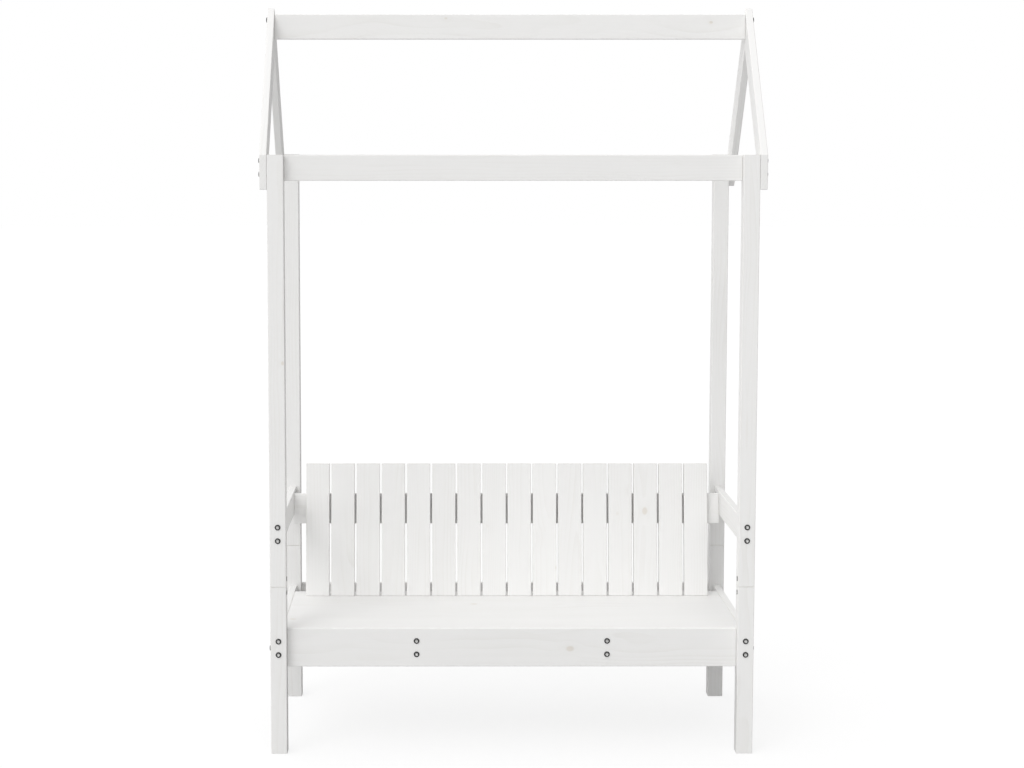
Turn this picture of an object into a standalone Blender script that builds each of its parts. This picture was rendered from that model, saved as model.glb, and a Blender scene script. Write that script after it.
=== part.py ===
"""A free-standing painted pine garden bench under an open, house-shaped roof frame.

Metres, +Z up, the front faces -Y, left is -X. The origin is the centre of the footprint on the ground.
Every stick of wood and every front bolt is an object of its own. Nothing on the bench moves.
"""

from math import atan2, cos, degrees, radians, sin, tan

import bmesh
import bpy
from mathutils import Matrix, Vector

# Stock sizes
POST = 0.045
BOARD = 0.020
NARROW_BOARD = 0.070
DEEP_BOARD = 0.108
BACK_RAIL_WIDTH = 0.090
EASED_EDGE = 0.0020
GAP = 0.0003

# Overall sizes
WIDTH_OVER_POSTS = 1.344
DEPTH_OVER_POSTS = 0.640
POST_TOP = 1.667
APEX_TOP = 2.083
POST_JOINT = 0.473

# Bolts, which are 6 mm with a domed head and a hexagon socket
HEAD_RADIUS = 0.0080
HEAD_HEIGHT = 0.0035
SHANK_RADIUS = 0.0030
HOLE_RADIUS = 0.0033
HOLE_OVERRUN = 0.010
HOLE_END_ROOM = 0.002
SOCKET_RADIUS = 0.0026
SOCKET_DEPTH = 0.0020
BOLT_GRIP = 0.035
BOLT_STEPS = 16
BOLT_SPACING = 0.038
HOLE_SIDES = 12

# Where the long faces are. The front bolt heads stand proud, and the origin allows for them.
FRONT = -(DEPTH_OVER_POSTS - HEAD_HEIGHT - GAP) / 2
BACK = FRONT + DEPTH_OVER_POSTS
INNER_FRONT = FRONT + POST
INNER_BACK = BACK - POST
POST_X = (WIDTH_OVER_POSTS - POST) / 2
BETWEEN_POSTS = WIDTH_OVER_POSTS / 2 - POST
BETWEEN_SIDES = POST_X - BOARD / 2
RIDGE_Y = (FRONT + BACK) / 2

# The seat
SEAT_TOP = 0.350
SEAT_BOTTOM = SEAT_TOP - BOARD
SEAT_PANEL_DEPTH = 0.396
REAR_SEAT_BOARD_DEPTH = 0.064
BEARER_X = 0.266
BEARER_BOLT_Z = 0.296
SIDE_RAIL_BOLT_Z = 0.3005
CLEAT = 0.030
CLEAT_SETBACK = 0.010

# The arm rails
ARM_TOP = 0.6565
ARM_BOLT_Z = ARM_TOP - NARROW_BOARD / 2

# The backrest
SLAT_COUNT = 16
SLAT_WIDTH = NARROW_BOARD
SLAT_PITCH = 0.0756
SLAT_TOP = 0.7435
SLAT_FOOT_Y = FRONT + 0.439
SLAT_HEAD_Y = FRONT + 0.488
BACK_RAIL_Z = 0.605
SLAT_LEAN = atan2(SLAT_HEAD_Y - SLAT_FOOT_Y, SLAT_TOP - SEAT_TOP)

# The roof frame
ROOF_PITCH = atan2(APEX_TOP - POST_TOP, RIDGE_Y - FRONT)
BEAM_TOP = POST_TOP - 0.001
RAFTER_FOOT_BOTTOM = 1.572
RIDGE_DROP = 0.018

# The loose tongue inside each post joint
TONGUE = 0.020
TONGUE_LENGTH = 0.110
TONGUE_CLEARANCE = 0.0004

SIDES = {"left": -1, "right": 1}
ENDS = {"front": (FRONT, 1), "rear": (BACK, -1)}


def new_collection(name, helpers=False):
    collection = bpy.data.collections.new(name)
    bpy.context.scene.collection.children.link(collection)
    collection.hide_render = helpers
    return collection


def material(name, colour, roughness, metallic=0.0):
    made = bpy.data.materials.new(name)
    made.use_nodes = True
    shader = made.node_tree.nodes["Principled BSDF"]
    shader.inputs["Base Color"].default_value = (*colour, 1)
    shader.inputs["Roughness"].default_value = roughness
    shader.inputs["Metallic"].default_value = metallic
    return made


def add_object(name, mesh, collection, finish=None):
    made = bpy.data.objects.new(name, mesh)
    collection.objects.link(made)
    if finish and not mesh.materials:
        mesh.materials.append(finish)
    return made


def ease_edges(wood):
    """The machined round on every edge of a stick of wood."""
    bevel = wood.modifiers.new("eased edges", "BEVEL")
    bevel.width = EASED_EDGE
    bevel.segments = 2
    bevel.limit_method = "ANGLE"
    bevel.angle_limit = radians(20)
    return wood


def box_mesh(name, size):
    mesh = bpy.data.meshes.new(name)
    solid = bmesh.new()
    bmesh.ops.create_cube(solid, size=1, matrix=Matrix.Diagonal((*size, 1)))
    solid.to_mesh(mesh)
    solid.free()
    return mesh


def stick(name, x, y, z):
    """A straight board or post between the low and high ends given for each axis."""
    spans = (x, y, z)
    wood = add_object(name, box_mesh(name, [high - low for low, high in spans]), parts, paint)
    wood.location = [(low + high) / 2 for low, high in spans]
    return ease_edges(wood)


def outline_board(name, outline, x_middle, thickness=BOARD):
    """A board cut to an outline of (y, z) corners, as thick along X as it says."""
    curve = bpy.data.curves.new(name, "CURVE")
    curve.dimensions = "2D"
    curve.fill_mode = "BOTH"
    curve.extrude = thickness / 2
    spline = curve.splines.new("POLY")
    spline.points.add(len(outline) - 1)
    for point, (y, z) in zip(spline.points, outline):
        point.co = (y, z, 0, 1)
    spline.use_cyclic_u = True
    guide = add_object(name + "_outline", curve, cutters)
    graph = bpy.context.evaluated_depsgraph_get()
    mesh = bpy.data.meshes.new_from_object(guide.evaluated_get(graph))
    bpy.data.objects.remove(guide)
    solid = bmesh.new()
    solid.from_mesh(mesh)
    bmesh.ops.remove_doubles(solid, verts=solid.verts, dist=1e-5)
    bmesh.ops.dissolve_limit(solid, angle_limit=radians(1), verts=solid.verts, edges=solid.edges)
    # The outline's plane is turned from XY to YZ, and the extrusion from Z to X.
    bmesh.ops.transform(solid, matrix=Matrix(((0, 0, 1), (1, 0, 0), (0, 1, 0))).to_4x4(), verts=solid.verts)
    bmesh.ops.recalc_face_normals(solid, faces=solid.faces)
    solid.to_mesh(mesh)
    solid.free()
    mesh.name = name
    wood = add_object(name, mesh, parts, paint)
    wood.location.x = x_middle
    return ease_edges(wood)


def cut(wood, cutter):
    boolean = wood.modifiers.new("cut " + cutter.name, "BOOLEAN")
    boolean.operation = "DIFFERENCE"
    boolean.solver = "EXACT"
    boolean.object = cutter


def as_helper(cutter):
    cutter.hide_render = True
    cutter.display_type = "WIRE"
    return cutter


def drill(name, start, depth):
    """A round cutter that starts at a point and runs straight back, along +Y."""
    mesh = bpy.data.meshes.new(name)
    solid = bmesh.new()
    bmesh.ops.create_cone(
        solid, cap_ends=True, segments=HOLE_SIDES, radius1=HOLE_RADIUS, radius2=HOLE_RADIUS, depth=depth
    )
    solid.to_mesh(mesh)
    solid.free()
    cutter = add_object(name, mesh, cutters)
    cutter.location = Vector(start) + Vector((0, depth / 2, 0))
    cutter.rotation_euler.x = radians(90)
    return as_helper(cutter)


def bolt_mesh(length):
    """A turned bolt along Z, its head up and its seat at z = 0, with a hexagon socket cut into the head."""
    profile = [
        (0, HEAD_HEIGHT),
        (0.50 * HEAD_RADIUS, HEAD_HEIGHT),
        (0.85 * HEAD_RADIUS, 0.78 * HEAD_HEIGHT),
        (HEAD_RADIUS, 0.35 * HEAD_HEIGHT),
        (HEAD_RADIUS, 0),
        (SHANK_RADIUS, 0),
        (SHANK_RADIUS, -length),
        (0, -length),
    ]
    mesh = bpy.data.meshes.new("bolt_profile")
    mesh.from_pydata(
        [(r, 0, z) for r, z in profile], [(i, i + 1) for i in range(len(profile) - 1)], []
    )
    blank = add_object("bolt_blank", mesh, cutters)
    screw = blank.modifiers.new("turn", "SCREW")
    screw.axis = "Z"
    screw.steps = BOLT_STEPS
    screw.render_steps = BOLT_STEPS
    screw.use_merge_vertices = True
    screw.merge_threshold = 1e-5
    socket = add_object("bolt_socket", bpy.data.meshes.new("bolt_socket"), cutters)
    prism = bmesh.new()
    bmesh.ops.create_cone(
        prism, cap_ends=True, segments=6, radius1=SOCKET_RADIUS, radius2=SOCKET_RADIUS, depth=2 * SOCKET_DEPTH
    )
    prism.to_mesh(socket.data)
    prism.free()
    socket.location.z = HEAD_HEIGHT
    cut(blank, socket)
    bpy.context.view_layer.update()
    graph = bpy.context.evaluated_depsgraph_get()
    made = bpy.data.meshes.new_from_object(blank.evaluated_get(graph))
    bpy.data.objects.remove(blank)
    bpy.data.objects.remove(socket)
    made.name = "bolt"
    made.shade_smooth()
    made.set_sharp_from_angle(angle=radians(35))
    return made


def bolt_through(name, mesh, x, face_y, z, front_wood, back_wood):
    """One front bolt: its seat on face_y, through front_wood's thickness and into the end of back_wood."""
    bolt = add_object(name, mesh, parts, steel)
    bolt.location = (x, face_y - GAP, z)
    bolt.rotation_euler = (radians(90), 0, 0)
    length = -min(corner[2] for corner in bolt.bound_box)
    hole = drill(name + "_hole", (x, face_y - HOLE_OVERRUN, z), length + HOLE_OVERRUN + HOLE_END_ROOM)
    cut(front_wood, hole)
    cut(back_wood, hole)


def bolt_pair(name, mesh, x, face_y, z_middle, front_wood, back_wood):
    for place, offset in (("upper", BOLT_SPACING / 2), ("lower", -BOLT_SPACING / 2)):
        bolt_through(f"{name}_{place}_bolt", mesh, x, face_y, z_middle + offset, front_wood, back_wood)


def make_posts():
    """Each corner post is two lengths of square timber, end to end, with a loose tongue inside the joint."""
    posts = {}
    reach = TONGUE_LENGTH / 2
    room = 2 * TONGUE_CLEARANCE
    for end, (face, inward) in ENDS.items():
        for side, sign in SIDES.items():
            x = (sign * POST_X - POST / 2, sign * POST_X + POST / 2)
            y = sorted((face, face + inward * POST))
            lower = stick(f"{end}_{side}_leg", x, y, (0, POST_JOINT - GAP / 2))
            upper = stick(f"{end}_{side}_post", x, y, (POST_JOINT + GAP / 2, POST_TOP))
            middle = (sign * POST_X, face + inward * POST / 2, POST_JOINT)
            slot = add_object(
                f"{end}_{side}_mortise",
                box_mesh("mortise", [TONGUE + room] * 2 + [TONGUE_LENGTH + room]),
                cutters,
            )
            slot.location = middle
            as_helper(slot)
            cut(lower, slot)
            cut(upper, slot)
            spans = [(place - TONGUE / 2, place + TONGUE / 2) for place in middle[:2]]
            stick(f"{end}_{side}_tongue", *spans, (POST_JOINT - reach, POST_JOINT + reach))
            posts[end, side] = (lower, upper)
    return posts


def make_seat():
    """The seat frame: two aprons, two side rails, two bearers and two cleats, with the panel let in flush."""
    wood = {}
    frame_z = (SEAT_TOP - DEEP_BOARD, SEAT_TOP)
    between = (-BETWEEN_POSTS + GAP, BETWEEN_POSTS - GAP)
    wood["front_apron"] = stick("front_apron", between, (INNER_FRONT - BOARD, INNER_FRONT), frame_z)
    wood["rear_apron"] = stick("rear_apron", between, (BACK - BOARD, BACK), frame_z)
    along = (INNER_FRONT + GAP, INNER_BACK - GAP)
    bearer_y = (INNER_FRONT + GAP, BACK - BOARD - GAP)
    bearer_z = (SEAT_BOTTOM - GAP - NARROW_BOARD, SEAT_BOTTOM - GAP)
    cleat_z = (SEAT_BOTTOM - GAP - CLEAT, SEAT_BOTTOM - GAP)
    for side, sign in SIDES.items():
        rail_x = (sign * POST_X - BOARD / 2, sign * POST_X + BOARD / 2)
        wood[side + "_seat_rail"] = stick(side + "_seat_rail", rail_x, along, frame_z)
        bearer_x = (sign * BEARER_X - BOARD / 2, sign * BEARER_X + BOARD / 2)
        wood[side + "_bearer"] = stick(side + "_bearer", bearer_x, bearer_y, bearer_z)
        inner_face = sign * (BETWEEN_SIDES - GAP)
        cleat_x = sorted((inner_face, inner_face - sign * BOARD))
        cleat_y = (INNER_FRONT + CLEAT_SETBACK, SLAT_FOOT_Y + REAR_SEAT_BOARD_DEPTH)
        stick(side + "_seat_cleat", cleat_x, cleat_y, cleat_z)
    seat_x = (-BETWEEN_SIDES + 2 * GAP, BETWEEN_SIDES - 2 * GAP)
    panel_y = (INNER_FRONT + 2 * GAP, INNER_FRONT + SEAT_PANEL_DEPTH - 2 * GAP)
    stick("seat_panel", seat_x, panel_y, (SEAT_BOTTOM, SEAT_TOP))
    rear_y = (panel_y[1] + 3 * GAP, panel_y[1] + REAR_SEAT_BOARD_DEPTH)
    stick("rear_seat_board", seat_x, rear_y, (SEAT_BOTTOM, SEAT_TOP))
    return wood


def make_arms():
    along = (INNER_FRONT + GAP, INNER_BACK - GAP)
    arms = {}
    for side, sign in SIDES.items():
        rail_x = (sign * POST_X - BOARD / 2, sign * POST_X + BOARD / 2)
        arms[side] = stick(side + "_arm_rail", rail_x, along, (ARM_TOP - NARROW_BOARD, ARM_TOP))
    return arms


def make_backrest():
    """Leaning slats that stand on the rear seat board and lie against one wide rail between the arm rails."""
    slope = tan(SLAT_LEAN)
    foot_z = SEAT_TOP + GAP
    thickness_y = BOARD / cos(SLAT_LEAN)
    foot_y = SLAT_FOOT_Y + GAP * slope
    # The foot is cut level, to stand on the seat, and the head is cut square.
    outline = [
        (foot_y, foot_z),
        (foot_y + thickness_y, foot_z),
        (SLAT_HEAD_Y + BOARD * cos(SLAT_LEAN), SLAT_TOP - BOARD * sin(SLAT_LEAN)),
        (SLAT_HEAD_Y, SLAT_TOP),
    ]
    for i in range(SLAT_COUNT):
        x = (i - (SLAT_COUNT - 1) / 2) * SLAT_PITCH
        outline_board(f"back_slat_{i + 1:02}", outline, x, SLAT_WIDTH)
    length = 2 * (BETWEEN_SIDES - GAP)
    rail = add_object("back_rail", box_mesh("back_rail", (length, BOARD, BACK_RAIL_WIDTH)), parts, paint)
    behind = (BOARD + GAP + BOARD / 2) / cos(SLAT_LEAN)
    front_y = SLAT_FOOT_Y + (BACK_RAIL_Z - SEAT_TOP) * slope
    rail.location = (0, front_y + behind, BACK_RAIL_Z)
    rail.rotation_euler.x = -SLAT_LEAN
    ease_edges(rail)


def make_roof():
    """Two eaves beams between the posts, two rafters at each end and a ridge board between them."""
    between = (-BETWEEN_POSTS + GAP, BETWEEN_POSTS - GAP)
    beam_z = (BEAM_TOP - NARROW_BOARD, BEAM_TOP)
    stick("front_beam", between, (INNER_FRONT - BOARD, INNER_FRONT), beam_z)
    stick("rear_beam", between, (BACK - BOARD, BACK), beam_z)
    plumb = NARROW_BOARD / cos(ROOF_PITCH)
    half_run = RIDGE_Y - FRONT
    level_cut = (RAFTER_FOOT_BOTTOM - (POST_TOP - plumb)) / tan(ROOF_PITCH)
    for end, (face, inward) in ENDS.items():
        outline = [
            (face, POST_TOP),
            (face, RAFTER_FOOT_BOTTOM),
            (face + inward * level_cut, RAFTER_FOOT_BOTTOM),
            (face + inward * (half_run - GAP / 2), APEX_TOP - plumb),
            (face + inward * (half_run - GAP / 2), APEX_TOP),
        ]
        for side, sign in SIDES.items():
            middle = sign * (WIDTH_OVER_POSTS / 2 + GAP + BOARD / 2)
            outline_board(f"{end}_{side}_rafter", outline, middle)
    ridge_top = APEX_TOP - RIDGE_DROP
    ridge_y = (RIDGE_Y - BOARD / 2, RIDGE_Y + BOARD / 2)
    half = WIDTH_OVER_POSTS / 2
    stick("ridge_board", (-half, half), ridge_y, (ridge_top - NARROW_BOARD, ridge_top))


def make_bolts(posts, seat, arms):
    """The twelve bolts of the front: through the posts into the arm and seat rails, and into the bearers."""
    through_post = bolt_mesh(POST + BOLT_GRIP)
    through_apron = bolt_mesh(BOARD + BOLT_GRIP)
    apron_face = INNER_FRONT - BOARD
    for side, sign in SIDES.items():
        lower, upper = posts["front", side]
        x = sign * POST_X
        bolt_pair(side + "_arm", through_post, x, FRONT, ARM_BOLT_Z, upper, arms[side])
        rail = seat[side + "_seat_rail"]
        bolt_pair(side + "_rail", through_post, x, FRONT, SIDE_RAIL_BOLT_Z, lower, rail)
        bearer = seat[side + "_bearer"]
        x = sign * BEARER_X
        bolt_pair(side + "_bearer", through_apron, x, apron_face, BEARER_BOLT_Z, seat["front_apron"], bearer)


for old in list(bpy.data.objects):
    bpy.data.objects.remove(old)

parts = new_collection("garden_bench_with_roof_frame")
cutters = new_collection("cutters", helpers=True)
paint = material("white_painted_pine", (0.80, 0.80, 0.78), 0.55)
steel = material("zinc_plated_steel", (0.55, 0.55, 0.54), 0.32, 1.0)

posts = make_posts()
seat = make_seat()
arms = make_arms()
make_backrest()
make_roof()
make_bolts(posts, seat, arms)
lean, pitch = degrees(SLAT_LEAN), degrees(ROOF_PITCH)
print(f"{len(parts.objects)} pieces, the back leans {lean:.1f} and the roof pitches {pitch:.1f} degrees")
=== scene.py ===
# %% [markdown]
# # A painted garden bench under a house-shaped roof frame
#
# The real bench is a kit of straight sticks. Four square posts carry a seat with a slatted back, and
# two pairs of rafters with a ridge board stand on them like the frame of a small house. Everything is
# pine under thin white paint, and zinc-plated bolts and screws hold it together.
#
# The dimensions were settled in the CAD model, so this script opens that model first. Each stick is
# then made again on the CAD stick's own place, with finer edges and with the marks that a wood
# material needs: how far along the stick a point is, and how near to an edge.

# %% Open the CAD model
from math import atan2, cos, pi, radians, sin

import bmesh
import bpy
from mathutils import Euler, Matrix, Vector


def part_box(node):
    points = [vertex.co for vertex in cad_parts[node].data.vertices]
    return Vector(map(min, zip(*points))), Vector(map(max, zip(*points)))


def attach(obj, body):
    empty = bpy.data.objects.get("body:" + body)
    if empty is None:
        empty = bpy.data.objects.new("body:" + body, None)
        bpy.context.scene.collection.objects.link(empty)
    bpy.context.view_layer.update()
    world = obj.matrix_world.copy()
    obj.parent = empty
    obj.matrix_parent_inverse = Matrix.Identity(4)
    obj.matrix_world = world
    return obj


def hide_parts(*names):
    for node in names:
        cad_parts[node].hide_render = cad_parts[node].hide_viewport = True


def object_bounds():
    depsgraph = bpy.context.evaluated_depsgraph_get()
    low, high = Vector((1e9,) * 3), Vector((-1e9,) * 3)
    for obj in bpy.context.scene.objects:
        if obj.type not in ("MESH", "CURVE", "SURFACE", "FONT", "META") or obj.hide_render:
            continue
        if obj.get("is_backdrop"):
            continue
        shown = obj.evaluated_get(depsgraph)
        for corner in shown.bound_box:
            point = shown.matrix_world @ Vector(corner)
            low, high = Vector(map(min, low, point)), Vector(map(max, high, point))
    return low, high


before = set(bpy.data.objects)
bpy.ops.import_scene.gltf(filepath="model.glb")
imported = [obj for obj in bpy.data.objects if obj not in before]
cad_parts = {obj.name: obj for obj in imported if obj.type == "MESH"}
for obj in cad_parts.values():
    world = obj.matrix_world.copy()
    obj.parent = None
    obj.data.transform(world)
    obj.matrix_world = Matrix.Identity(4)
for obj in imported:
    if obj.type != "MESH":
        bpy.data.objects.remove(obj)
cad_low, cad_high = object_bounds()
print("the CAD model runs from", [round(c, 3) for c in cad_low], "to", [round(c, 3) for c in cad_high])

# %% [markdown]
# ## The camera
#
# The bench is looked at from a standing person's eye height, from a little to the left of its middle,
# with a long lens, so that the front and rear posts nearly line up. A camera can look straight ahead
# and slide its picture down with the shift, which keeps upright lines upright, or it can tilt. A big
# shift would cut the roof off when the bench is turned round, so most of the work is done by a tilt of
# about five degrees, and the shift only does the rest.

# %% Camera
camera_data = bpy.data.cameras.new("camera")
camera_data.sensor_width = 36
camera_data.lens = 70.71
camera_data.shift_x = 0.0667
camera_data.shift_y = -0.045
camera = bpy.data.objects.new("camera", camera_data)
camera.location = (-0.2022, -5.8075, 1.6744)
camera.rotation_euler = (radians(90 - 5.282), 0, radians(-0.125))
bpy.context.scene.collection.objects.link(camera)
bpy.context.scene.camera = camera
print("the camera is", round(cad_low[1] - camera.location.y, 2), "m in front of the bench")

# %% [markdown]
# ## Writing node maths as sums
#
# Both a material and a Geometry Nodes tree are graphs, and their maths is hard to read as a list of
# nodes and links. Two small classes make it readable. A Wire is an output socket that can be added and
# multiplied: each sign adds one Math node, or one Vector Math node where the wire carries a vector. A
# Graph adds every other kind of node through one method, which sets the node's own settings first and
# its sockets next, because some settings decide which sockets there are.

# %% The two classes
class Wire:
    """An output socket of a node, with the signs of arithmetic."""

    def __init__(self, graph, socket):
        self.graph = graph
        self.socket = socket

    def __add__(self, other):
        return self.graph.maths("ADD", self, other)

    def __sub__(self, other):
        return self.graph.maths("SUBTRACT", self, other)

    def __mul__(self, other):
        return self.graph.maths("MULTIPLY", self, other)

    def __truediv__(self, other):
        return self.graph.maths("DIVIDE", self, other)

    def __radd__(self, other):
        return self.graph.maths("ADD", other, self)

    def __rsub__(self, other):
        return self.graph.maths("SUBTRACT", other, self)

    def __rmul__(self, other):
        return self.graph.maths("MULTIPLY", other, self)

    def __getitem__(self, name):
        """Another output of the same node."""
        return Wire(self.graph, self.graph.named(self.socket.node.outputs, name))


class Graph:
    """A node tree, and the one way to add a node to it."""

    def __init__(self, tree):
        self.tree = tree

    @staticmethod
    def named(sockets, name):
        if isinstance(name, int):
            return sockets[name]
        return next(s for s in sockets if s.enabled and s.name == name)

    def add(self, kind, settings=None, values=None):
        node = self.tree.nodes.new(kind)
        for name, setting in (settings or {}).items():
            setattr(node, name, setting)
        for name, value in (values or {}).items():
            socket = self.named(node.inputs, name)
            if isinstance(value, Wire):
                self.tree.links.new(value.socket, socket)
            else:
                socket.default_value = value
        outputs = [s for s in node.outputs if s.enabled]
        return Wire(self, outputs[0]) if outputs else node

    def maths(self, operation, *terms):
        vectors = any(isinstance(t, Wire) and t.socket.type in ("VECTOR", "RGBA") for t in terms)
        if not vectors:
            return self.add("ShaderNodeMath", {"operation": operation}, dict(enumerate(terms)))
        # A plain number stands for the same number on all three axes.
        terms = [(t, t, t) if isinstance(t, (int, float)) else t for t in terms]
        return self.add("ShaderNodeVectorMath", {"operation": operation}, dict(enumerate(terms)))

    def split(self, vector):
        parts = self.add("ShaderNodeSeparateXYZ", values={0: vector})
        return parts["X"], parts["Y"], parts["Z"]

    def join(self, x, y, z):
        return self.add("ShaderNodeCombineXYZ", values={"X": x, "Y": y, "Z": z})

    def fade(self, value, start, end):
        """0 up to start, 1 from end on, and a smooth rise between them."""
        values = {"Value": value, "From Min": start, "From Max": end}
        return self.add("ShaderNodeMapRange", {"interpolation_type": "SMOOTHSTEP"}, values)


print("the sums are ready")

# %% [markdown]
# ## White painted pine
#
# The paint on the real bench is thin. The wood under it still tells: faint lines of the growth rings
# run along each stick, a few knots show through as warm spots, the brush has left fine streaks, and
# the paint has worn a little along the edges and soaked into the end grain.
#
# An image could be stretched over each stick, but its pattern would repeat and would not turn the
# corner onto the end grain. So the wood is worked out in three dimensions, as in a real log. Every
# stick carries three marks in its mesh: "grain", its own place in a log with X along the fibres,
# "place", the distance from the stick's middle, and "half", half its size. Growth rings are circles
# round the pith of that log, and whatever face is cut through them shows the right lines.

# %% The paint's own numbers, in metres
RING_SPACING = 0.0072
WHITE = (0.838, 0.834, 0.825, 1)
RING_TINT = (0.775, 0.766, 0.742, 1)
KNOT_TINT = (0.62, 0.55, 0.45, 1)
BARE_WOOD = (0.66, 0.60, 0.50, 1)
WORN_EDGE = 0.0030
LOG_STEP = 2.37  # how far along the log one board's wood starts after the last one's


# %% Wood under thin paint
def painted_pine():
    made = bpy.data.materials.new("white_painted_pine")
    made.use_nodes = True
    made.node_tree.nodes.clear()
    wood = Graph(made.node_tree)
    grain = wood.add("ShaderNodeAttribute", {"attribute_name": "grain"})["Vector"]
    place = wood.add("ShaderNodeAttribute", {"attribute_name": "place"})["Vector"]
    half = wood.add("ShaderNodeAttribute", {"attribute_name": "half"})["Vector"]
    number = wood.add("ShaderNodeAttribute", {"attribute_name": "board"})["Fac"]
    chance = wood.add("ShaderNodeTexWhiteNoise", {"noise_dimensions": "1D"}, {"W": number})
    tone, log_x, log_y = wood.split(chance["Color"])
    _, across, through = wood.split(grain)

    def noise(stretch, detail=2.0, roughness=0.5):
        values = {"Vector": grain * stretch, "Scale": 1.0, "Detail": detail, "Roughness": roughness}
        return wood.add("ShaderNodeTexNoise", {"noise_dimensions": "3D"}, values)

    # Knots: at most one in each cell of a loose lattice, and only some cells have one.
    cell = (2.6, 10.0, 14.0)
    scaled = grain * cell
    nearest = wood.add("ShaderNodeTexVoronoi", values={"Vector": scaled, "Scale": 1.0})
    offset = (scaled - nearest["Position"]) / cell
    off_x, off_y, off_z = wood.split(offset)
    reach = wood.maths("SQRT", off_x * off_x * 0.5 + off_y * off_y + off_z * off_z * 0.12)
    has_knot, knot_size, _ = wood.split(nearest["Color"])
    radius = 0.0035 + 0.0050 * knot_size
    present = wood.maths("GREATER_THAN", has_knot, 0.52)
    heart = present * (1 - wood.fade(reach / radius, 0.55, 1.25))
    halo = present * (1 - wood.fade(reach / radius, 1.0, 4.0))

    # Growth rings round the pith, which wander along the log and swell past a knot.
    wander = noise((1.6, 7.0, 7.0), 2.0)
    drift_y, drift_z, _ = wood.split(wander["Color"])
    pith_y = across + (log_x - 0.5) * 0.16 + (drift_y - 0.5) * 0.050
    pith_z = through + 0.020 + log_y * 0.075 + (drift_z - 0.5) * 0.050
    ring_radius = wood.maths("SQRT", pith_y * pith_y + pith_z * pith_z) + halo * 0.0040
    fibre = noise((9.0, 850.0, 850.0), 3.0, 0.6)
    turn = wood.maths("FRACT", ring_radius / RING_SPACING + (fibre - 0.5) * 0.16)
    late_wood = turn * turn * turn * (1 - wood.fade(turn, 0.93, 1.0))
    patch = noise((3.0, 16.0, 16.0), 3.0)
    rings = late_wood * wood.fade(patch, 0.30, 0.68)

    # How near a point is to an edge or an end of the stick.
    inside = half - wood.maths("ABSOLUTE", place)
    in_x, in_y, in_z = wood.split(inside)
    near = wood.maths("MINIMUM", in_x, in_y)
    far = wood.maths("MAXIMUM", in_x, in_y)
    to_edge = wood.maths("MAXIMUM", near, wood.maths("MINIMUM", far, in_z))
    rub = noise((26.0, 130.0, 130.0), 4.0, 0.6)
    worn = (1 - wood.fade(to_edge + (rub - 0.5) * 0.0045, 0.0, WORN_EDGE)) * wood.fade(rub, 0.42, 0.72)
    end_grain = 1 - wood.fade(in_x, 0.0002, 0.0012)
    brush = noise((7.0, 260.0, 260.0), 2.0)
    blotch = noise((5.0, 11.0, 11.0), 4.0, 0.55)

    def blend(amount, below, above, how="MIX"):
        values = {"Factor": amount, "A": below, "B": above}
        return wood.add("ShaderNodeMix", {"data_type": "RGBA", "blend_type": how}, values)

    shade = 0.975 + 0.030 * tone + 0.030 * (blotch - 0.5) + 0.022 * (fibre - 0.5) + 0.018 * (brush - 0.5)
    colour = blend(rings * 0.75, WHITE, RING_TINT)
    colour = blend(halo * 0.16, colour, RING_TINT)
    colour = blend(heart * 0.42, colour, KNOT_TINT)
    colour = blend(end_grain * (0.10 + 0.22 * rings), colour, BARE_WOOD)
    colour = blend(worn * 0.30, colour, BARE_WOOD)
    colour = blend(1.0, colour, wood.join(shade, shade, shade), "MULTIPLY")

    rough = 0.50 + 0.14 * (brush - 0.5) + 0.10 * rings + 0.12 * end_grain + 0.10 * worn
    height = 0.55 * rings + 0.35 * fibre + 0.30 * brush - 0.45 * heart + end_grain * fibre * 0.6
    relief = wood.add("ShaderNodeBump", values={"Strength": 0.30, "Distance": 0.0005, "Height": height})
    surface = wood.add(
        "ShaderNodeBsdfPrincipled",
        values={"Base Color": colour, "Roughness": rough, "Normal": relief, "Specular IOR Level": 0.35},
    )
    wood.add("ShaderNodeOutputMaterial", values={"Surface": surface})
    return made


pine = painted_pine()
print("painted pine has", len(pine.node_tree.nodes), "nodes")
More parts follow.
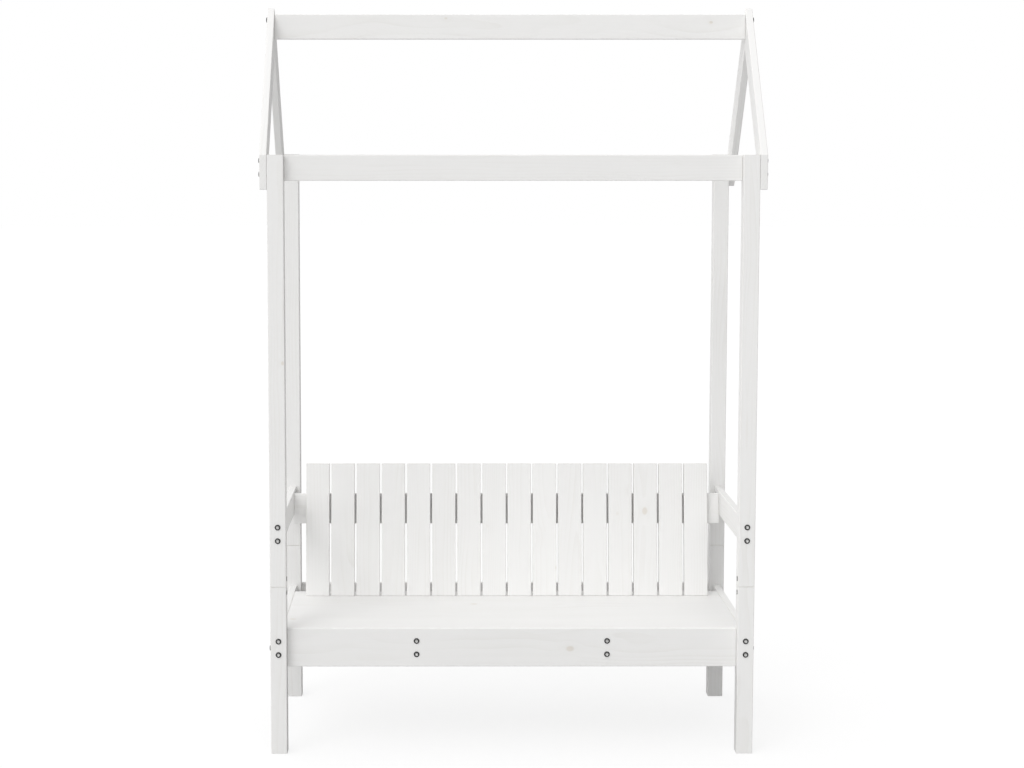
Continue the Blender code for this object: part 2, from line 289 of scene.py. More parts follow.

# %% [markdown]
# ## Zinc-plated steel
#
# The bolt heads are turned and then plated. Zinc is a soft grey with a satin shine, and the tool has
# left rings round the middle of each head. The outer slope of a head is painted near black, as a
# painted dark reflection. A mark called "turned" in the mesh of each fastener holds a point's place on
# its own fastener, so the rings and the painted dark reflection stay centred however the fastener is set.


# %% The plating
def zinc_plate():
    made = bpy.data.materials.new("zinc_plated_steel")
    made.use_nodes = True
    made.node_tree.nodes.clear()
    zinc = Graph(made.node_tree)
    turned = zinc.add("ShaderNodeAttribute", {"attribute_name": "turned"})["Vector"]
    x, y, z = zinc.split(turned)
    from_axis = zinc.maths("SQRT", x * x + y * y)
    objects = zinc.add("ShaderNodeTexCoord")["Object"]
    smear = zinc.add("ShaderNodeTexNoise", values={"Vector": objects, "Scale": 420.0, "Detail": 3.0})
    tool_marks = zinc.maths("SINE", from_axis * (2 * pi / 0.00028) + smear * 1.5)
    dulled = zinc.fade(smear, 0.40, 0.70)
    values = {"Factor": dulled, "A": (0.78, 0.78, 0.77, 1), "B": (0.60, 0.60, 0.595, 1)}
    colour = zinc.add("ShaderNodeMix", {"data_type": "RGBA"}, values)
    # The outer slope of each head is painted near black: a painted dark reflection, not the zinc's own
    # colour.
    painted_dark_reflection = zinc.fade(from_axis, 0.0034, 0.0050)
    values = {"Factor": painted_dark_reflection, "A": colour, "B": (0.05, 0.05, 0.05, 1)}
    colour = zinc.add("ShaderNodeMix", {"data_type": "RGBA"}, values)
    rough = 0.27 + 0.13 * dulled + 0.02 * tool_marks
    relief = zinc.add(
        "ShaderNodeBump", values={"Strength": 0.25, "Distance": 0.00004, "Height": tool_marks}
    )
    surface = zinc.add(
        "ShaderNodeBsdfPrincipled",
        values={"Base Color": colour, "Roughness": rough, "Normal": relief, "Metallic": 1.0},
    )
    zinc.add("ShaderNodeOutputMaterial", values={"Surface": surface})
    return made


steel = zinc_plate()
print("zinc plate has", len(steel.node_tree.nodes), "nodes")

# %% [markdown]
# ## One tree for every straight stick
#
# A sawn stick is a box, but no real one has knife edges: the planer rounds the long edges by about two
# millimetres, and the saw leaves the ends almost sharp. A Bevel modifier could round a cube, but it
# rounds every edge alike. Here a Geometry Nodes tree does it with one rule. It starts from a cube of
# six by six by six points, keeps the inner points on the flats and pushes the outer ones round a
# quarter circle. The same tree then serves the posts, the boards and the slats.


# %% Trees with named inputs
def new_tree(name, inputs):
    """A geometry tree, its graph and a dict of its inputs as wires."""
    tree = bpy.data.node_groups.new(name, "GeometryNodeTree")
    for label, kind in inputs.items():
        tree.interface.new_socket(label, in_out="INPUT", socket_type="NodeSocket" + kind)
    tree.interface.new_socket("Geometry", in_out="OUTPUT", socket_type="NodeSocketGeometry")
    graph = Graph(tree)
    entry = tree.nodes.new("NodeGroupInput")
    return tree, graph, {label: Wire(graph, entry.outputs[label]) for label in inputs}


def keep(graph, shape, name, value, kind="FLOAT_VECTOR"):
    """Writes a mark on every point of a shape."""
    values = {"Geometry": shape, "Name": name, "Value": value}
    return graph.add("GeometryNodeStoreNamedAttribute", {"data_type": kind, "domain": "POINT"}, values)


def run_tree(name, tree, values, start=None):
    """Runs a tree on a start mesh and returns the result as a plain object with even shading."""
    made = bpy.data.objects.new(name, start or bpy.data.meshes.new(name + "_start"))
    bpy.context.scene.collection.objects.link(made)
    nodes = made.modifiers.new("nodes", "NODES")
    nodes.node_group = tree
    for item in tree.interface.items_tree:
        if item.in_out == "INPUT" and item.name in values:
            nodes[item.identifier] = values[item.name]
    flats = made.modifiers.new("flats", "WEIGHTED_NORMAL")
    flats.weight = 100
    graph = bpy.context.evaluated_depsgraph_get()
    mesh = bpy.data.meshes.new_from_object(made.evaluated_get(graph), depsgraph=graph)
    mesh.name = name
    made.modifiers.clear()
    made.data = mesh
    return made


print("the tree helpers are ready")

# %% The stick tree
EDGE_POINTS = 6  # points along each side of the starting cube: two for the flat and two for each edge

stick_tree, g, given = new_tree(
    "eased_stick",
    {"Length": "Float", "Width": "Float", "Thickness": "Float", "Edge": "Float", "End edge": "Float"},
)
cube = g.add(
    "GeometryNodeMeshCube",
    values={"Size": (2, 2, 2)} | {f"Vertices {axis}": EDGE_POINTS for axis in "XYZ"},
)
flat_share = 1 / (EDGE_POINTS - 1)
spot = g.add("GeometryNodeInputPosition")
out_of_flat = (g.maths("ABSOLUTE", spot) - flat_share) * (1 / (1 - flat_share))
out_of_flat = g.maths("MAXIMUM", out_of_flat, (0.0, 0.0, 0.0))
side = g.maths("SIGN", spot)
turned_out = g.maths("TANGENT", out_of_flat * (pi / 4))
round_way = g.add("ShaderNodeVectorMath", {"operation": "NORMALIZE"}, {0: turned_out})
half_size = g.join(given["Length"], given["Width"], given["Thickness"]) * 0.5
easing = g.join(given["End edge"], given["Edge"], given["Edge"])
eased = side * (half_size - easing + round_way * easing)
shape = g.add("GeometryNodeSetPosition", values={"Geometry": cube, "Position": eased})
shape = g.add("GeometryNodeSetShadeSmooth", values={"Geometry": shape})
shape = keep(g, shape, "place", g.add("GeometryNodeInputPosition"))
shape = keep(g, shape, "half", half_size)
stick_tree.links.new(shape.socket, stick_tree.nodes.new("NodeGroupOutput").inputs[0])
print("the stick tree has", len(stick_tree.nodes), "nodes")

# %% The board tree, which gives a stick its wood and puts it in place
board_tree, g, given = new_tree(
    "board",
    {
        "Length": "Float",
        "Width": "Float",
        "Thickness": "Float",
        "Edge": "Float",
        "End edge": "Float",
        "Centre": "Vector",
        "Turn": "Rotation",
        "Number": "Float",
        "Paint": "Material",
    },
)
sizes = {label: given[label] for label in ("Length", "Width", "Thickness", "Edge", "End edge")}
shape = g.add("GeometryNodeGroup", {"node_tree": stick_tree}, sizes)
in_log = g.add("GeometryNodeInputPosition") + g.join(given["Number"] * LOG_STEP, 0.0, 0.0)
shape = keep(g, shape, "grain", in_log)
shape = keep(g, shape, "board", given["Number"], "FLOAT")
shape = g.add(
    "GeometryNodeTransform",
    values={"Geometry": shape, "Translation": given["Centre"], "Rotation": given["Turn"]},
)
shape = g.add("GeometryNodeRealizeInstances", values={"Geometry": shape})
shape = g.add("GeometryNodeSetMaterial", values={"Geometry": shape, "Material": given["Paint"]})
board_tree.links.new(shape.socket, board_tree.nodes.new("NodeGroupOutput").inputs[0])
print("the board tree has", len(board_tree.nodes), "nodes")

# %% [markdown]
# ## Posts, rails, aprons and seat
#
# Each of these is a straight stick that stands square to the others, so its CAD box says all there is
# to know: the longest side is the length, along the fibres, and the shortest is the thickness. The
# seat's panel and boards meet edge to edge, and their seams are kept tight with a finer edge.

# %% Straight boards
BOARD_THICKNESS = 0.020
BOARD_WIDTH = 0.070
EDGE = 0.0020
SEAM_EDGE = 0.0007
SAWN_EDGE = 0.0005
board_count = 0


def finish_piece(piece, nodes):
    """The piece stands for its CAD nodes and belongs to the one body of the bench."""
    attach(piece, "root")
    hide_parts(*nodes)
    return piece


def lay_board(name, centre, length, width, thickness, turn, edge=EDGE, end_edge=SAWN_EDGE):
    global board_count
    board_count += 1
    values = {
        "Length": length,
        "Width": width,
        "Thickness": thickness,
        "Edge": edge,
        "End edge": end_edge,
        "Centre": centre,
        "Turn": turn,
        "Number": float(board_count),
        "Paint": pine,
    }
    return run_tree(name + "_wood", board_tree, values)


def straight_board(node, edge=EDGE):
    low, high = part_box(node)
    size = high - low
    order = sorted(range(3), key=lambda axis: -size[axis])
    axes = [Vector([1.0 if axis == i else 0.0 for i in range(3)]) for axis in order]
    axes[2] = axes[0].cross(axes[1])
    turn = Matrix(axes).transposed().to_euler()
    piece = lay_board(node, (low + high) / 2, *[size[axis] for axis in order], turn, edge)
    return finish_piece(piece, [node])


ends, sides = ("front", "rear"), ("left", "right")
straight = [f"{e}_{s}_{part}" for part in ("leg", "post", "tongue") for e in ends for s in sides]
straight += [f"{s}_{part}" for part in ("seat_rail", "bearer", "seat_cleat", "arm_rail") for s in sides]
straight += ["front_apron", "rear_apron", "front_beam", "rear_beam", "ridge_board"]
for node in straight:
    straight_board(node)
for node in ("seat_panel", "rear_seat_board"):
    straight_board(node, SEAM_EDGE)
print(board_count, "straight boards")

# %% [markdown]
# ## The slatted back
#
# Sixteen equal slats stand on the seat and lean back against one wide rail. This is what Geometry Nodes
# are for: one slat, a line of points, and an instance of the slat on each. Each slat's foot is sawn
# level, to stand flat on the seat, while its head is square, so the tree slides the stick's points back
# with their height, and drops the back of the head a little. Each slat also gets its own number, so
# that no two show the same grain.


# %% How far the back leans, read off the CAD model
def facing(node, direction):
    """The mean direction of the faces of a CAD node that face roughly that way."""
    total = Vector()
    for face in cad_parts[node].data.polygons:
        if face.normal.dot(Vector(direction)) > 0.97:
            total += face.normal * face.area
    return total.normalized()


front_of_rail = facing("back_rail", (0, -1, 0))
lean = atan2(front_of_rail.z, -front_of_rail.y)
print("the back leans", round(lean * 180 / pi, 2), "degrees")

# %% The slat tree
slat_tree, g, given = new_tree(
    "slatted_back",
    {
        "Count": "Int",
        "Pitch": "Float",
        "Height": "Float",
        "Width": "Float",
        "Thickness": "Float",
        "Edge": "Float",
        "Lean": "Float",
        "Foot": "Vector",
        "First number": "Float",
        "Paint": "Material",
    },
)
level_thickness = given["Thickness"] / g.maths("COSINE", given["Lean"])
sizes = {
    "Length": given["Height"],
    "Width": given["Width"],
    "Thickness": level_thickness,
    "Edge": given["Edge"],
    "End edge": given["Edge"] * 0.5,
}
stick = g.add("GeometryNodeGroup", {"node_tree": stick_tree}, sizes)
up, sideways, back = g.split(g.add("GeometryNodeInputPosition"))
at_head = g.maths("GREATER_THAN", up, 0.0)
drop = (back + level_thickness * 0.5) * g.maths("SINE", given["Lean"]) * g.maths("COSINE", given["Lean"])
height = up + given["Height"] * 0.5 - at_head * drop
leaning = g.join(sideways, back + level_thickness * 0.5 + height * g.maths("TANGENT", given["Lean"]), height)
slat = g.add("GeometryNodeSetPosition", values={"Geometry": stick, "Position": leaning})
half_row = (given["Count"] - 1) * given["Pitch"] * 0.5
row = g.add(
    "GeometryNodeMeshLine",
    {"mode": "OFFSET"},
    {
        "Count": given["Count"],
        "Start Location": given["Foot"] - g.join(half_row, 0.0, 0.0),
        "Offset": g.join(given["Pitch"], 0.0, 0.0),
    },
)
number = given["First number"] + g.add("GeometryNodeInputIndex")
row = keep(g, row, "board", number, "FLOAT")
slats = g.add("GeometryNodeInstanceOnPoints", values={"Points": row, "Instance": slat})
slats = g.add("GeometryNodeRealizeInstances", values={"Geometry": slats})
place = g.add("GeometryNodeInputNamedAttribute", {"data_type": "FLOAT_VECTOR"}, {"Name": "place"})
number = g.add("GeometryNodeInputNamedAttribute", {"data_type": "FLOAT"}, {"Name": "board"})
slats = keep(g, slats, "grain", place + g.join(number * LOG_STEP, 0.0, 0.0))
slats = g.add("GeometryNodeSetMaterial", values={"Geometry": slats, "Material": given["Paint"]})
slat_tree.links.new(slats.socket, slat_tree.nodes.new("NodeGroupOutput").inputs[0])
print("the slat tree has", len(slat_tree.nodes), "nodes")

# %% The slats
slat_nodes = sorted(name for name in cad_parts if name.startswith("back_slat_"))
first_low, first_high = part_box(slat_nodes[0])
last_low, last_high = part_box(slat_nodes[-1])
slat_pitch = (last_low.x - first_low.x) / (len(slat_nodes) - 1)
slat_values = {
    "Count": len(slat_nodes),
    "Pitch": slat_pitch,
    "Height": first_high.z - first_low.z,
    "Width": first_high.x - first_low.x,
    "Thickness": BOARD_THICKNESS,
    "Edge": EDGE,
    "Lean": lean,
    "Foot": ((first_low.x + last_high.x) / 2, first_low.y, first_low.z),
    "First number": board_count + 1.0,
    "Paint": pine,
}
back = finish_piece(run_tree("slatted_back_wood", slat_tree, slat_values), slat_nodes)
board_count += len(slat_nodes)
print(len(slat_nodes), "slats,", round(slat_pitch * 1000, 1), "mm apart")

# %% The rail behind the slats
RAIL_WIDTH = 0.090
rail_low, rail_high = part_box("back_rail")
rail_turn = Euler((pi / 2 - lean, 0, 0))
rail_middle = (rail_low + rail_high) / 2
rail_length = rail_high.x - rail_low.x
rail = lay_board("back_rail", rail_middle, rail_length, RAIL_WIDTH, BOARD_THICKNESS, rail_turn)
finish_piece(rail, ["back_rail"])
print("the rail is at", [round(c, 3) for c in rail_middle])

# %% [markdown]
# ## The rafters
#
# A rafter is a board with three different cuts: upright where it meets its partner under the ridge,
# upright again down the outside of the post, and level at the foot. Nothing repeats here except the
# four rafters themselves, so it is simpler to draw the outline once as corners, give it a thickness
# with bmesh and bevel all its edges. The corners are where the CAD board's own planes meet.


# %% Outline of a rafter
def meet(line_a, line_b):
    """The point (y, z) where two lines cross. A line is (ny, nz, d), with ny * y + nz * z = d."""
    (a, b, e), (c, d, f) = line_a, line_b
    whole = a * d - b * c
    return ((e * d - b * f) / whole, (a * f - e * c) / whole)


def rafter_outline(node, outward):
    low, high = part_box(node)
    roof_side = facing(node, (0, outward * 0.79, 0.61))
    reach = [v.co.y * roof_side.y + v.co.z * roof_side.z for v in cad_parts[node].data.vertices]
    top = (roof_side.y, roof_side.z, max(reach))
    face_y, ridge_y = (low.y, high.y) if outward < 0 else (high.y, low.y)
    under = (roof_side.y, roof_side.z, max(reach) - BOARD_WIDTH)
    face, ridge, foot = (1, 0, face_y), (1, 0, ridge_y), (0, 1, low.z)
    corners = [meet(top, face), meet(face, foot), meet(foot, under), meet(under, ridge), meet(ridge, top)]
    return corners, roof_side, low.x, high.x


def rafter(node, outward):
    global board_count
    board_count += 1
    corners, roof_side, x_low, x_high = rafter_outline(node, outward)
    solid = bmesh.new()
    near = [solid.verts.new((x_low, y, z)) for y, z in corners]
    far = [solid.verts.new((x_high, y, z)) for y, z in corners]
    solid.faces.new(near)
    solid.faces.new(far[::-1])
    for i in range(len(corners)):
        j = (i + 1) % len(corners)
        solid.faces.new((near[j], near[i], far[i], far[j]))
    bmesh.ops.bevel(solid, geom=solid.edges[:], offset=EDGE, segments=4, profile=0.5, affect="EDGES")
    bmesh.ops.recalc_face_normals(solid, faces=solid.faces)
    mesh = bpy.data.meshes.new(node + "_wood")
    solid.to_mesh(mesh)
    solid.free()
    # The marks for the wood, in the rafter's own directions: up the slope, across it, and through it.
    slope = Vector((0, -outward * roof_side.z, abs(roof_side.y)))
    middle = Vector(((x_low + x_high) / 2, *[sum(c[i] for c in corners) / len(corners) for i in (0, 1)]))
    places = []
    for vertex in mesh.vertices:
        offset = vertex.co - middle
        places.append((offset.dot(slope), offset.dot(roof_side), offset.x))
    halves = [max(abs(p[i]) for p in places) for i in range(3)]
    marks = {
        "grain": [(p[0] + board_count * LOG_STEP, p[1], p[2]) for p in places],
        "place": places,
        "half": [halves] * len(places),
    }
    for name, rows in marks.items():
        mark = mesh.attributes.new(name, "FLOAT_VECTOR", "POINT")
        mark.data.foreach_set("vector", [number for row in rows for number in row])
    mark = mesh.attributes.new("board", "FLOAT", "POINT")
    mark.data.foreach_set("value", [float(board_count)] * len(places))
    mesh.materials.append(pine)
    mesh.shade_smooth()
    piece = bpy.data.objects.new(node + "_wood", mesh)
    bpy.context.scene.collection.objects.link(piece)
    flats = piece.modifiers.new("flats", "WEIGHTED_NORMAL")
    flats.weight = 100
    return finish_piece(piece, [node])


for s in sides:
    rafter(f"front_{s}_rafter", -1)
    rafter(f"rear_{s}_rafter", 1)
print("4 rafters,", board_count, "boards in all")

# %% [markdown]
# ## Bolts, barrel nuts and screws
#
# The bench comes as a kit, so the posts are joined with bolts: a low domed head with a hexagon socket,
# which turns into a slotted barrel nut in the rail. The slats are held by small cross-slotted screws
# from behind and from below. There are over a hundred, of only three kinds, so each kind is modelled
# once and a Geometry Nodes tree sets it on a cloud of points, each turned the way its point faces and
# twisted by a random amount, as nobody lines up the slots.


# %% A turned part, from its rings
def turned_part(name, rings, steps=24):
    """A closed solid round Z from (radius, height, sides) rings. A ring with sides is a polygon."""
    solid = bmesh.new()
    rows = []
    for radius, height, corners in rings:
        if radius == 0:
            rows.append([solid.verts.new((0, 0, height))])
            continue
        row = []
        for i in range(steps):
            angle = 2 * pi * i / steps
            here = radius
            if corners:
                sector = 2 * pi / corners
                here = radius * cos(sector / 2) / cos(angle % sector - sector / 2)
            row.append(solid.verts.new((here * cos(angle), here * sin(angle), height)))
        rows.append(row)
    for inner, outer in zip(rows, rows[1:]):
        for i in range(steps):
            j = (i + 1) % steps
            corner = [inner[i % len(inner)], outer[i % len(outer)]]
            corner += [outer[j % len(outer)], inner[j % len(inner)]]
            solid.faces.new(list(dict.fromkeys(corner)))
    bmesh.ops.recalc_face_normals(solid, faces=solid.faces)
    mesh = bpy.data.meshes.new(name)
    solid.to_mesh(mesh)
    solid.free()
    part = bpy.data.objects.new(name, mesh)
    bpy.context.scene.collection.objects.link(part)
    return part


def slotted(part, slots):
    """Cuts slots of (length, width, height of the floor), the second across the first."""
    for i, (length, width, floor) in enumerate(slots):
        cutter_mesh = bpy.data.meshes.new("slot")
        solid = bmesh.new()
        bmesh.ops.create_cube(solid, size=1, matrix=Matrix.Diagonal((length, width, 0.004, 1)))
        bmesh.ops.rotate(solid, verts=solid.verts, matrix=Matrix.Rotation(i * pi / 2, 3, "Z"))
        bmesh.ops.translate(solid, verts=solid.verts, vec=(0, 0, floor + 0.002))
        solid.to_mesh(cutter_mesh)
        solid.free()
        cutter = bpy.data.objects.new("slot", cutter_mesh)
        bpy.context.scene.collection.objects.link(cutter)
        cut = part.modifiers.new("slot", "BOOLEAN")
        cut.operation = "DIFFERENCE"
        cut.solver = "EXACT"
        cut.object = cutter
        graph = bpy.context.evaluated_depsgraph_get()
        mesh = bpy.data.meshes.new_from_object(part.evaluated_get(graph), depsgraph=graph)
        part.modifiers.clear()
        part.data = mesh
        bpy.data.objects.remove(cutter)
    return part


# %% The three kinds
HEAD = 0.0080
HEAD_HEIGHT = 0.0035
bolt = turned_part(
    "bolt_pattern",
    [
        (0, 0.0014, 0),
        (0.0029, 0.0014, 6),
        (0.0029, 0.0033, 6),
        (0.0036, HEAD_HEIGHT, 0),
        (0.0050, 0.0034, 0),
        (0.0063, 0.0030, 0),
        (0.0073, 0.0023, 0),
        (0.0078, 0.0016, 0),
        (HEAD, 0.0008, 0),
        (HEAD, 0.0001, 0),
        (0.0031, 0.0001, 0),
        (0.0030, -0.010, 0),
        (0, -0.010, 0),
    ],
)
nut = turned_part(
    "barrel_nut_pattern",
    [(0, 0.0004, 0), (0.0044, 0.0004, 0), (0.0050, 0.0001, 0), (0.0050, -0.008, 0), (0, -0.008, 0)],
)
slotted(nut, [(0.0088, 0.0014, -0.0010)])
screw = turned_part(
    "screw_pattern",
    [
        (0, 0.0006, 0),
        (0.0020, 0.0005, 0),
        (0.0038, 0.0001, 0),
        (0.0040, -0.0002, 0),
        (0.0020, -0.0022, 0),
        (0, -0.0030, 0),
    ],
)
slotted(screw, [(0.0040, 0.0009, -0.0012), (0.0040, 0.0009, -0.0012)])
for pattern in (bolt, nut, screw):
    mark = pattern.data.attributes.new("turned", "FLOAT_VECTOR", "POINT")
    mark.data.foreach_set("vector", [c for v in pattern.data.vertices for c in v.co])
    pattern.data.shade_smooth()
    pattern.data.set_sharp_from_angle(angle=radians(32))
    print(pattern.name, "has", len(pattern.data.polygons), "faces")

# %% The fastener tree
fastener_tree, g, given = new_tree(
    "fasteners", {"Points": "Geometry", "Pattern": "Object", "Seed": "Int", "Plating": "Material"}
)
source = g.add("GeometryNodeObjectInfo", {"transform_space": "ORIGINAL"}, {"Object": given["Pattern"]})
pattern = source["Geometry"]
way = g.add("GeometryNodeInputNamedAttribute", {"data_type": "FLOAT_VECTOR"}, {"Name": "facing"})
aimed = g.add("FunctionNodeAlignRotationToVector", {"axis": "Z"}, {"Vector": way})
full_turn = {"Min": 0.0, "Max": 2 * pi, "Seed": given["Seed"]}
twist = g.add("FunctionNodeRandomValue", {"data_type": "FLOAT"}, full_turn)
spin = g.add("FunctionNodeAxisAngleToRotation", values={"Axis": (0, 0, 1), "Angle": twist})
rotations = {"Rotation": aimed, "Rotate By": spin}
turned = g.add("FunctionNodeRotateRotation", {"rotation_space": "LOCAL"}, rotations)
placed = g.add(
    "GeometryNodeInstanceOnPoints",
    values={"Points": given["Points"], "Instance": pattern, "Rotation": turned},
)
placed = g.add("GeometryNodeRealizeInstances", values={"Geometry": placed})
placed = g.add("GeometryNodeSetMaterial", values={"Geometry": placed, "Material": given["Plating"]})
fastener_tree.links.new(placed.socket, fastener_tree.nodes.new("NodeGroupOutput").inputs[0])
print("the fastener tree has", len(fastener_tree.nodes), "nodes")


# %% Setting fasteners on points
def set_fasteners(name, pattern, points, seed, nodes=()):
    """points are (place, facing) pairs."""
    start = bpy.data.meshes.new(name + "_points")
    start.from_pydata([p for p, _ in points], [], [])
    facing_mark = start.attributes.new("facing", "FLOAT_VECTOR", "POINT")
    facing_mark.data.foreach_set("vector", [c for _, way in points for c in way])
    values = {"Pattern": pattern, "Seed": seed, "Plating": steel}
    piece = run_tree(name, fastener_tree, values, start)
    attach(piece, "root")
    if nodes:
        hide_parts(*nodes)
    print(name, len(points))
    return piece


# %% Bolts through the front and rear faces
bolt_nodes = sorted(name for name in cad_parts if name.endswith("_bolt"))
front_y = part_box("front_left_post")[0].y
rear_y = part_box("rear_left_post")[1].y
apron_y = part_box("front_apron")[0].y
rear_apron_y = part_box("rear_apron")[1].y
front_points, rear_points = [], []
for node in bolt_nodes:
    low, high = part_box(node)
    x, z = (low.x + high.x) / 2, (low.z + high.z) / 2
    on_apron = "bearer" in node
    front_points.append(((x, apron_y if on_apron else front_y, z), (0, -1, 0)))
    rear_points.append(((x, rear_apron_y if on_apron else rear_y, z), (0, 1, 0)))
set_fasteners("front_bolts", bolt, front_points, 1, bolt_nodes)
set_fasteners("rear_bolts", bolt, rear_points, 2)

# %% Bolts through the sides of the posts and rafters
RAFTER_BOLT_HEIGHTS = (1.651, 1.614)
RIDGE_BOLT_HEIGHT = 2.049
RIDGE_BOLT_OFFSET = 0.0105
JOINT_BOLT_REACH = 0.019
JOINT_BOLT_SINK = 0.0022  # how deep these heads are set into the wood, with no recess round them
apron_low, apron_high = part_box("front_apron")
_, leg_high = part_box("front_left_leg")
ridge_y = (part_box("ridge_board")[0].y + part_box("ridge_board")[1].y) / 2
side_points, roof_points, joint_points = [], [], []
for s, sign in (("left", -1), ("right", 1)):
    rafter_low, rafter_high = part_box(f"front_{s}_rafter")
    outside = rafter_low.x if sign < 0 else rafter_high.x
    for e in ends:
        low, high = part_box(f"{e}_{s}_leg")
        middle_y = (low.y + high.y) / 2
        outer_x, inner_x = (low.x, high.x) if sign < 0 else (high.x, low.x)
        side_points.append(((outer_x, middle_y, (apron_low.z + apron_high.z) / 2), (sign, 0, 0)))
        for height in RAFTER_BOLT_HEIGHTS:
            roof_points.append(((outside, middle_y, height), (sign, 0, 0)))
        for step in (-JOINT_BOLT_REACH, JOINT_BOLT_REACH):
            z = leg_high.z + step
            if e == "front":
                sunk_x = inner_x + sign * JOINT_BOLT_SINK
                joint_points.append(((sunk_x, middle_y, z), (-sign, 0, 0)))
            else:
                joint_points.append((((low.x + high.x) / 2, high.y, z), (0, 1, 0)))
    for step in (-RIDGE_BOLT_OFFSET, RIDGE_BOLT_OFFSET):
        roof_points.append(((outside, ridge_y + step, RIDGE_BOLT_HEIGHT), (sign, 0, 0)))
set_fasteners("apron_end_bolts", bolt, side_points, 3)
set_fasteners("rafter_bolts", bolt, roof_points, 4)
set_fasteners("post_joint_bolts", bolt, joint_points, 5)

# %% Barrel nuts in the rails
NUT_REACH = 0.030
nut_points = []
for s, sign in (("left", -1), ("right", 1)):
    for part in ("arm", "rail", "bearer"):
        rail_name = {"arm": f"{s}_arm_rail", "rail": f"{s}_seat_rail", "bearer": f"{s}_bearer"}[part]
        low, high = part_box(rail_name)
        inner_x = high.x if sign < 0 else low.x
        for place in ("upper", "lower"):
            if (part, place) == ("rail", "upper"):
                continue  # the cleat covers this one
            bolt_low, bolt_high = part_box(f"{s}_{part}_{place}_bolt")
            z = (bolt_low.z + bolt_high.z) / 2
            for y in (low.y + NUT_REACH, high.y - NUT_REACH):
                nut_points.append(((inner_x, y, z), (-sign, 0, 0)))
set_fasteners("barrel_nuts", nut, nut_points, 6)

# %% Screws into the slats and the seat
SCREW_SPREAD = 0.024
behind = Vector((0, cos(lean), -sin(lean)))
up_rail = Vector((0, sin(lean), cos(lean)))
rail_back = Vector((0, *rail_middle[1:])) + behind * (BOARD_THICKNESS / 2)
seat_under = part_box("rear_seat_board")[0].z
foot_y = first_low.y + 0.010
screw_points = []
for i in range(len(slat_nodes)):
    x = (first_low.x + first_high.x) / 2 + i * slat_pitch
    for step in (-SCREW_SPREAD, SCREW_SPREAD):
        screw_points.append((Vector((x, 0, 0)) + rail_back + up_rail * step, behind))
    screw_points.append((Vector((x, foot_y, seat_under)), Vector((0, 0, -1))))
for s in sides:
    low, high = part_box(f"{s}_seat_cleat")
    for share in (0.1, 0.4, 0.7, 0.93):
        spot = Vector(((low.x + high.x) / 2, low.y + share * (high.y - low.y), low.z))
        screw_points.append((spot, Vector((0, 0, -1))))
set_fasteners("screws", screw, screw_points, 7)
for pattern in (bolt, nut, screw):
    bpy.data.objects.remove(pattern)

# %% [markdown]
# ## Floor, backdrop and light
#
# The bench stands in a plain pale room with soft light. A weak key light in front, to the left and
# above makes the faces that look left bright and leaves those that look right in some shade, which is
# what shows that the posts are square. Most of the light comes from all round, and is weaker from the
# right and from behind.
# It is a world shader that depends only on direction. The floor and the backdrop are only there to be
# seen: they would otherwise throw white light back up under the seat and flatten it. A second, darker
# floor in the same place is never seen, and gives the light that a real floor would send back.


# %% Floor and backdrop
def pale_material(name, glow, lit_colour):
    """A white that shines a little by itself and is lit for the rest, so that its shadows are faint."""
    made = bpy.data.materials.new(name)
    made.use_nodes = True
    made.node_tree.nodes.clear()
    plain = Graph(made.node_tree)
    lit = plain.add("ShaderNodeBsdfDiffuse", values={"Color": (lit_colour, lit_colour, lit_colour, 1)})
    shining = plain.add("ShaderNodeEmission", values={"Color": (1, 1, 1, 1), "Strength": glow})
    both = plain.add("ShaderNodeAddShader", values={0: lit, 1: shining})
    plain.add("ShaderNodeOutputMaterial", values={"Surface": both})
    return made


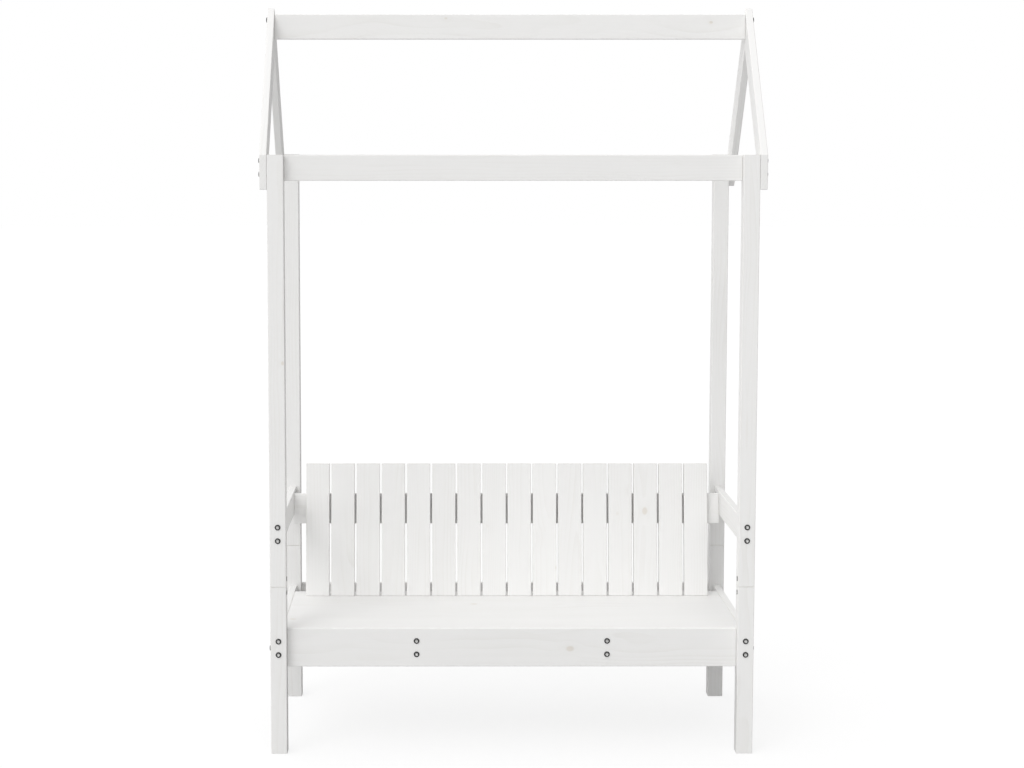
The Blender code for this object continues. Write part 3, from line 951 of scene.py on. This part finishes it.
def stage_object(name, solid, finish, seen=True):
    mesh = bpy.data.meshes.new(name)
    solid.to_mesh(mesh)
    solid.free()
    mesh.materials.append(finish)
    made = bpy.data.objects.new(name, mesh)
    bpy.context.scene.collection.objects.link(made)
    made.visible_camera = seen
    for ray in ("visible_diffuse", "visible_glossy", "visible_shadow"):
        setattr(made, ray, not seen)
    made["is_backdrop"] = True
    return made


def disc(radius):
    solid = bmesh.new()
    bmesh.ops.create_circle(solid, cap_ends=True, segments=96, radius=radius)
    return solid


ROOM_RADIUS = 40.0
pale_floor, grey_floor = pale_material("pale_floor", 0.80, 0.20), pale_material("grey_floor", 0.0, 0.55)
floor = stage_object("floor", disc(ROOM_RADIUS), pale_floor)
under_floor = stage_object("light_giving_floor", disc(ROOM_RADIUS), grey_floor, False)
floor.location.z, under_floor.location.z = -0.0005, -0.0010
solid = bmesh.new()
bmesh.ops.create_uvsphere(solid, u_segments=64, v_segments=32, radius=ROOM_RADIUS)
stage_object("backdrop", solid, pale_material("pale_backdrop", 1.0, 0.0))
print("a room of", ROOM_RADIUS, "m radius")

# %% Light
world = bpy.data.worlds.new("soft_room_light")
bpy.context.scene.world = world
world.use_nodes = True
world.node_tree.nodes.clear()
room = Graph(world.node_tree)
to_right, to_back, to_top = room.split(room.add("ShaderNodeTexCoord")["Generated"])
open_side = 1 - 0.62 * room.fade(to_right, 0.05, 0.85)
strength = (1.02 - 0.18 * to_right - 0.20 * to_back + 0.11 * to_top) * open_side
glow = room.add("ShaderNodeBackground", values={"Color": (1, 1, 1, 1), "Strength": strength})
room.add("ShaderNodeOutputWorld", values={"Surface": glow})

key_data = bpy.data.lights.new("key_light", "SUN")
key_data.energy = 0.66
key_data.angle = radians(30)
key = bpy.data.objects.new("key_light", key_data)
key.rotation_euler = Vector((0.42, 0.62, -0.66)).to_track_quat("-Z", "Y").to_euler()
bpy.context.scene.collection.objects.link(key)
bpy.context.scene.view_settings.view_transform = "Standard"
print("one key light of", key_data.energy, "W per square metre and a soft world")

# %% [markdown]
# ## Measuring
#
# The CAD model's box and the finished bench's box are both measured and printed.

# %% Sizes
visual_low, visual_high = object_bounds()
sizes = {
    "cad": [[float(c) for c in cad_low], [float(c) for c in cad_high]],
    "visual": [[float(c) for c in visual_low], [float(c) for c in visual_high]],
}
print("CAD box and visual box:", sizes)
